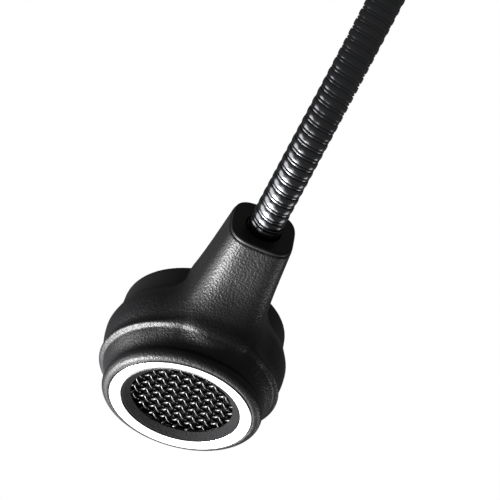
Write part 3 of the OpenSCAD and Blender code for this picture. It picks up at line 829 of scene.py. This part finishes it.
FOOT = np.array([PIVOTS[0][0], PIVOTS[0][1], PIVOTS[0][2] - (PIVOTS[1][2] - PIVOTS[0][2])])
ARC_START = PIVOTS[7][2] - CHORD / 2 - FOOT[2]
ARC_LEN = BEND_RADIUS * BEND
INSIDE_NECK = FERRULE_BACK - 0.5


def centre_line(s):
    """Point and outward direction of the gooseneck at a distance s from its foot."""
    turned = np.clip((s - ARC_START) / BEND_RADIUS, 0, BEND)
    past = np.maximum(s - ARC_START - ARC_LEN, 0)
    up = np.minimum(s, ARC_START)
    y = FOOT[1] + BEND_RADIUS * (1 - np.cos(turned)) + past * math.sin(BEND)
    z = FOOT[2] + up + BEND_RADIUS * np.sin(turned) + past * math.cos(BEND)
    point = np.column_stack([np.full_like(y, FOOT[0]), y, z])
    front = np.column_stack([np.zeros_like(y), -np.cos(turned), np.sin(turned)])
    return point, front


def distance_along(point):
    """Where on the centre line the point's height above the foot comes, by its turn."""
    if point[2] <= FOOT[2] + ARC_START:
        return point[2] - FOOT[2]
    turned = math.atan2(point[2] - FOOT[2] - ARC_START, BEND_RADIUS - (point[1] - FOOT[1]))
    return ARC_START + BEND_RADIUS * turned


def strip_profile():
    """Place along one turn and radius: a broad flat band and a narrow lower one, grooves between."""
    radius = np.ptp(node_points("gooseneck_link_02")[:, 0]) / 2
    groove, crown, crown_power = radius - 0.45, 0.1, 2.4
    lower, lower_crown = 0.16, 0.05
    broad = [(0.60 * t, radius - crown * abs(2 * t - 1) ** crown_power) for t in np.linspace(0, 1, 9)]
    narrow = [(0.69 + 0.21 * t, radius - lower - lower_crown * abs(2 * t - 1) ** 2)
              for t in np.linspace(0, 1, 5)]
    return broad + [(0.62, groove), (0.67, groove)] + narrow + [(0.92, groove), (0.975, groove)]


def coil_piece(name, first, last, finish):
    """The wound strip from one turn angle to another, its corners in the order of the winding."""
    pitch = sizes().strip_pitch / MM
    around = 44
    profile = strip_profile()
    rows = len(profile)
    start, end = round(first / pitch * around), round(last / pitch * around)
    index = np.arange(start, end + 1)
    theta = 2 * math.pi * index / around
    corners = []
    for share, radius in profile + [(1.0, profile[0][1])]:
        s = np.maximum(pitch * (index / around + share), 0)
        middle, front = centre_line(s)
        side = np.array([1.0, 0, 0])
        corners.append(middle + radius * (np.cos(theta)[:, None] * side + np.sin(theta)[:, None] * front))
    corners = np.stack(corners, axis=1)
    count = len(index)
    columns = rows + 1
    faces = []
    for i in range(count - 1):
        for j in range(rows):
            a, b = i * columns + j, (i + 1) * columns + j
            faces.append((a, a + 1, b + 1, b))
    return make_piece(name, corners.reshape(-1, 3) * MM, faces, finish)


def build_gooseneck():
    """The winding in one piece round each flexing point, left where it is built, with rigid ends that ride on
    the base at the foot and on the head.
    """
    foot_gap, bent_share = 0.2, 0.8
    finish = metal("black_nickel_strip", colours().strip, 0.17, 0.28, 5, 0.3)
    stations = [distance_along(p) for p in PIVOTS]
    ends = ARC_START + ARC_LEN
    between = [(a + b) / 2 for a, b in zip(stations, stations[1:])]
    middles = [stations[0] / 2] + between + [(stations[-1] + ends) / 2]
    foot = coil_piece("gooseneck_foot_turns", foot_gap, middles[0], finish)
    weld(foot)
    settle(foot, "base", "gooseneck_steel", "gooseneck_link_01")
    for i, pivot in enumerate(PIVOTS):
        piece = coil_piece(f"gooseneck_turns_{i + 1:02d}", middles[i], middles[i + 1], finish)
        weld(piece)
        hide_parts(f"gooseneck_link_{i + 2:02d}")
        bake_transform(piece)
    tail = coil_piece("gooseneck_tail_turns", middles[-1], ends + INSIDE_NECK, finish)
    weld(tail)
    settle(tail, "head", "gooseneck_steel")


# ---------- stage ----------

def build_stage():
    """Camera, floor, soft lights and a white surround."""
    scene = bpy.context.scene
    values = scene.mic_stage
    az, el, roll = values.azimuth, values.elevation, values.roll
    toward = Vector((math.sin(az) * math.cos(el), -math.cos(az) * math.cos(el), math.sin(el)))
    level_right = Vector((math.cos(az), math.sin(az), 0))
    level_up = toward.cross(level_right)
    cam_up = math.cos(roll) * level_up + math.sin(roll) * level_right
    cam_right = math.cos(roll) * level_right - math.sin(roll) * level_up
    target = Vector(FACE * MM) + cam_right * values.right + cam_up * values.up
    camera_data = bpy.data.cameras.new("camera")
    camera_data.sensor_width = 36
    camera_data.lens = 36 * values.distance / values.width
    camera_data.clip_end = 50
    camera = bpy.data.objects.new("camera", camera_data)
    rotation = Matrix((cam_right, cam_up, toward)).transposed().to_4x4()
    camera.matrix_world = Matrix.Translation(target + toward * values.distance) @ rotation
    scene.collection.objects.link(camera)
    scene.camera = camera
    scene.view_settings.view_transform = "Standard"

    floor_mesh = bpy.data.meshes.new("floor")
    half, pale = 0.7, linear("ededee")
    corners = [(-half, -half, 0), (half, -half, 0), (half, half, 0), (-half, half, 0)]
    floor_mesh.from_pydata(corners, [], [(0, 1, 2, 3)])
    floor = bpy.data.objects.new("floor", floor_mesh)
    material, tree, shader = new_finish("pale_floor", pale, 0.7)
    mottle(tree, shader, pale, 0.65, 0.8, 40, 0.01)
    floor_mesh.materials.append(material)
    scene.collection.objects.link(floor)
    floor.location.z = -0.0002
    floor.visible_diffuse = False
    floor.visible_glossy = False

    def soft_light(name, offset, size, power):
        light = bpy.data.lights.new(name, "AREA")
        light.shape, light.size, light.energy = "DISK", size, power
        lamp = bpy.data.objects.new(name, light)
        head = Vector(FACE * MM)
        lamp.location = head + Vector(offset)
        lamp.rotation_euler = Vector(offset).to_track_quat("Z", "Y").to_euler()
        scene.collection.objects.link(lamp)

    soft_light("key_light", (0.28, -0.13, 0.55), 0.36, 10)
    soft_light("overhead_light", (0.12, 0.06, 0.72), 0.95, 7.5)
    soft_light("left_light", (0.58, -0.04, 0.34), 0.5, 2.2)
    soft_light("front_light", (0.2, -0.48, 0.54), 0.3, 0.4)
    soft_light("side_light", (-0.56, 0.32, 0.27), 0.3, 0.5)

    world = bpy.data.worlds.new("white_surround")
    scene.world = world
    world.use_nodes = True
    tree = world.node_tree
    tree.nodes.clear()
    path = add(tree, "LightPath")
    seen = add(tree, "Background", {"Color": (1, 1, 1, 1), "Strength": 1.0})
    glow = add(tree, "Background", {"Color": (1, 1, 1, 1), "Strength": 0.09})
    mixed = add(tree, "MixShader", None,
                {0: path.outputs["Is Camera Ray"], 1: glow.outputs[0], 2: seen.outputs[0]})
    add(tree, "OutputWorld", None, {"Surface": mixed.outputs[0]})


def finish_neck():
    finish_nodes(metal("turned_brass", linear("c9a35c"), 0.25, 0.4, 3, 0.3), "neck_ferrule")


def finish_rear_cover():
    finish_nodes(satin_abs("satin_cover_abs", colours().cover), "rear_cover")
    finish_nodes(moulded_rubber(), "cover_gasket")


def finish_bezel():
    finish_nodes(granular_abs(), "grille_bezel")


def finish_capsule():
    finish_nodes(metal("turned_aluminium", linear("c8c9cc"), 0.3, 0.45, 3, 0.3),
                 "capsule_case", "capsule_grille")
    finish_nodes(clear_acrylic(), "diaphragm")
    finish_nodes(metal("wound_copper", linear("c07a48"), 0.3, 0.5, 1, 0.2), "voice_coil")
    finish_nodes(metal("ground_magnet_steel", linear("8e8f93"), 0.3, 0.45, 2, 0.3), "capsule_magnet")
    finish_nodes(moulded_rubber(), "rubber_mount")


def finish_foot():
    finish_nodes(metal("polished_flange_steel", linear("d9dadd"), 0.14, 0.22, 6, 0.3), "gooseneck_flange")
    finish_nodes(metal("turned_brass_stud", linear("c9a35c"), 0.25, 0.4, 3, 0.3), "foot_stud")
    finish_nodes(metal("zinc_plated_steel", linear("b4b6b9"), 0.3, 0.45, 2, 0.3),
                 "lock_washer", "foot_nut")


def finish_base():
    finish_nodes(moulded_grain_abs(), "base_shell")
    finish_nodes(metal("zinc_plated_plate", linear("b4b6b9"), 0.32, 0.48, 5, 0.4), "base_plate")
    finish_nodes(metal("cast_iron", linear("5a5a5c"), 0.55, 0.75, 2, 0.5), "ballast")
    finish_nodes(moulded_rubber(), "rubber_pad")


def finish_electronics():
    finish_nodes(glass_epoxy(), "control_board")
    finish_nodes(satin_abs("moulded_epoxy", linear("161618")), "switch_body", "audio_chip")
    finish_nodes(clear_acrylic(), "status_led", "light_pipe")
    finish_nodes(metal("tinned_steel", linear("c2c3c6"), 0.22, 0.34, 3, 0.3), "lead_socket")


def finish_key():
    finish_nodes(satin_abs("satin_key_abs", colours().key), "talk_key")
    finish_nodes(metal("spring_steel", linear("a9abaf"), 0.22, 0.34, 2, 0.2), "key_spring")


def finish_screws():
    finish_nodes(metal("zinc_plated_screws", linear("a4a6aa"), 0.28, 0.42, 2, 0.3),
                 "cover_screws", "plate_screws", "ballast_screws", "board_screws")


# ---------- operators ----------

class MIC_OT_stage(bpy.types.Operator):
    """Adds the camera, the floor and the soft lights"""
    bl_idname = "mic.stage"
    bl_label = "Stage"

    def execute(self, context):
        build_stage()
        return {"FINISHED"}


class MIC_OT_head_shell(bpy.types.Operator):
    """Moulds the head and its neck in one piece"""
    bl_idname = "mic.head_shell"
    bl_label = "Head shell"

    def execute(self, context):
        build_head_shell()
        return {"FINISHED"}


class MIC_OT_trim_ring(bpy.types.Operator):
    """Spins the polished trim ring"""
    bl_idname = "mic.trim_ring"
    bl_label = "Trim ring"

    def execute(self, context):
        build_trim_ring()
        return {"FINISHED"}


class MIC_OT_grille(bpy.types.Operator):
    """Weaves the wire mesh, cuts the foam behind it and finishes the bezel"""
    bl_idname = "mic.grille"
    bl_label = "Grille"

    def execute(self, context):
        build_wire_mesh()
        build_foam()
        finish_bezel()
        return {"FINISHED"}


class MIC_OT_rear_cover(bpy.types.Operator):
    """Finishes the rear cover and its gasket"""
    bl_idname = "mic.rear_cover"
    bl_label = "Rear cover"

    def execute(self, context):
        finish_rear_cover()
        return {"FINISHED"}


class MIC_OT_capsule(bpy.types.Operator):
    """Finishes the capsule's parts"""
    bl_idname = "mic.capsule"
    bl_label = "Capsule"

    def execute(self, context):
        finish_capsule()
        return {"FINISHED"}


class MIC_OT_neck(bpy.types.Operator):
    """Moulds the cap in the neck's mouth and finishes the ferrule behind it"""
    bl_idname = "mic.neck"
    bl_label = "Neck fittings"

    def execute(self, context):
        build_mouth_cap()
        finish_neck()
        return {"FINISHED"}


class MIC_OT_gooseneck(bpy.types.Operator):
    """Winds the gooseneck from its foot to the head"""
    bl_idname = "mic.gooseneck"
    bl_label = "Gooseneck"

    def execute(self, context):
        build_gooseneck()
        return {"FINISHED"}


class MIC_OT_foot(bpy.types.Operator):
    """Finishes the flange, the stud, the washer and the nut"""
    bl_idname = "mic.foot"
    bl_label = "Gooseneck foot"

    def execute(self, context):
        finish_foot()
        return {"FINISHED"}


class MIC_OT_base(bpy.types.Operator):
    """Finishes the base's shell, plate, ballast and pad"""
    bl_idname = "mic.base"
    bl_label = "Base"

    def execute(self, context):
        finish_base()
        return {"FINISHED"}


class MIC_OT_electronics(bpy.types.Operator):
    """Finishes the board and what is on it"""
    bl_idname = "mic.electronics"
    bl_label = "Electronics"

    def execute(self, context):
        finish_electronics()
        return {"FINISHED"}


class MIC_OT_talk_key(bpy.types.Operator):
    """Finishes the talk key and its spring"""
    bl_idname = "mic.talk_key"
    bl_label = "Talk key"

    def execute(self, context):
        finish_key()
        return {"FINISHED"}


class MIC_OT_screws(bpy.types.Operator):
    """Finishes the screws"""
    bl_idname = "mic.screws"
    bl_label = "Screws"

    def execute(self, context):
        finish_screws()
        return {"FINISHED"}


OPERATORS = (
    MIC_OT_stage, MIC_OT_head_shell, MIC_OT_trim_ring, MIC_OT_grille, MIC_OT_rear_cover, MIC_OT_capsule,
    MIC_OT_neck, MIC_OT_gooseneck, MIC_OT_foot, MIC_OT_base, MIC_OT_electronics, MIC_OT_talk_key, MIC_OT_screws,
)


class MIC_PT_panel(bpy.types.Panel):
    """Lists the microphone's sizes, colours and pieces"""
    bl_label = "Microphone"
    bl_idname = "MIC_PT_panel"
    bl_space_type = "VIEW_3D"
    bl_region_type = "UI"
    bl_category = "Microphone"

    def draw(self, context):
        layout = self.layout
        for group in (context.scene.mic_sizes, context.scene.mic_colours, context.scene.mic_stage):
            for name in group.__annotations__:
                layout.prop(group, name)
        for operator in OPERATORS:
            layout.operator(operator.bl_idname)


CLASSES = (MicSizes, MicColours, MicStage, *OPERATORS, MIC_PT_panel)


def register():
    for cls in CLASSES:
        bpy.utils.register_class(cls)
    bpy.types.Scene.mic_sizes = PointerProperty(type=MicSizes)
    bpy.types.Scene.mic_colours = PointerProperty(type=MicColours)
    bpy.types.Scene.mic_stage = PointerProperty(type=MicStage)


def unregister():
    del bpy.types.Scene.mic_stage
    del bpy.types.Scene.mic_colours
    del bpy.types.Scene.mic_sizes
    for cls in reversed(CLASSES):
        bpy.utils.unregister_class(cls)


def main():
    register()
    for operator in OPERATORS:
        group, name = operator.bl_idname.split(".")
        getattr(getattr(bpy.ops, group), name)()


if __name__ == "__main__":
    main()
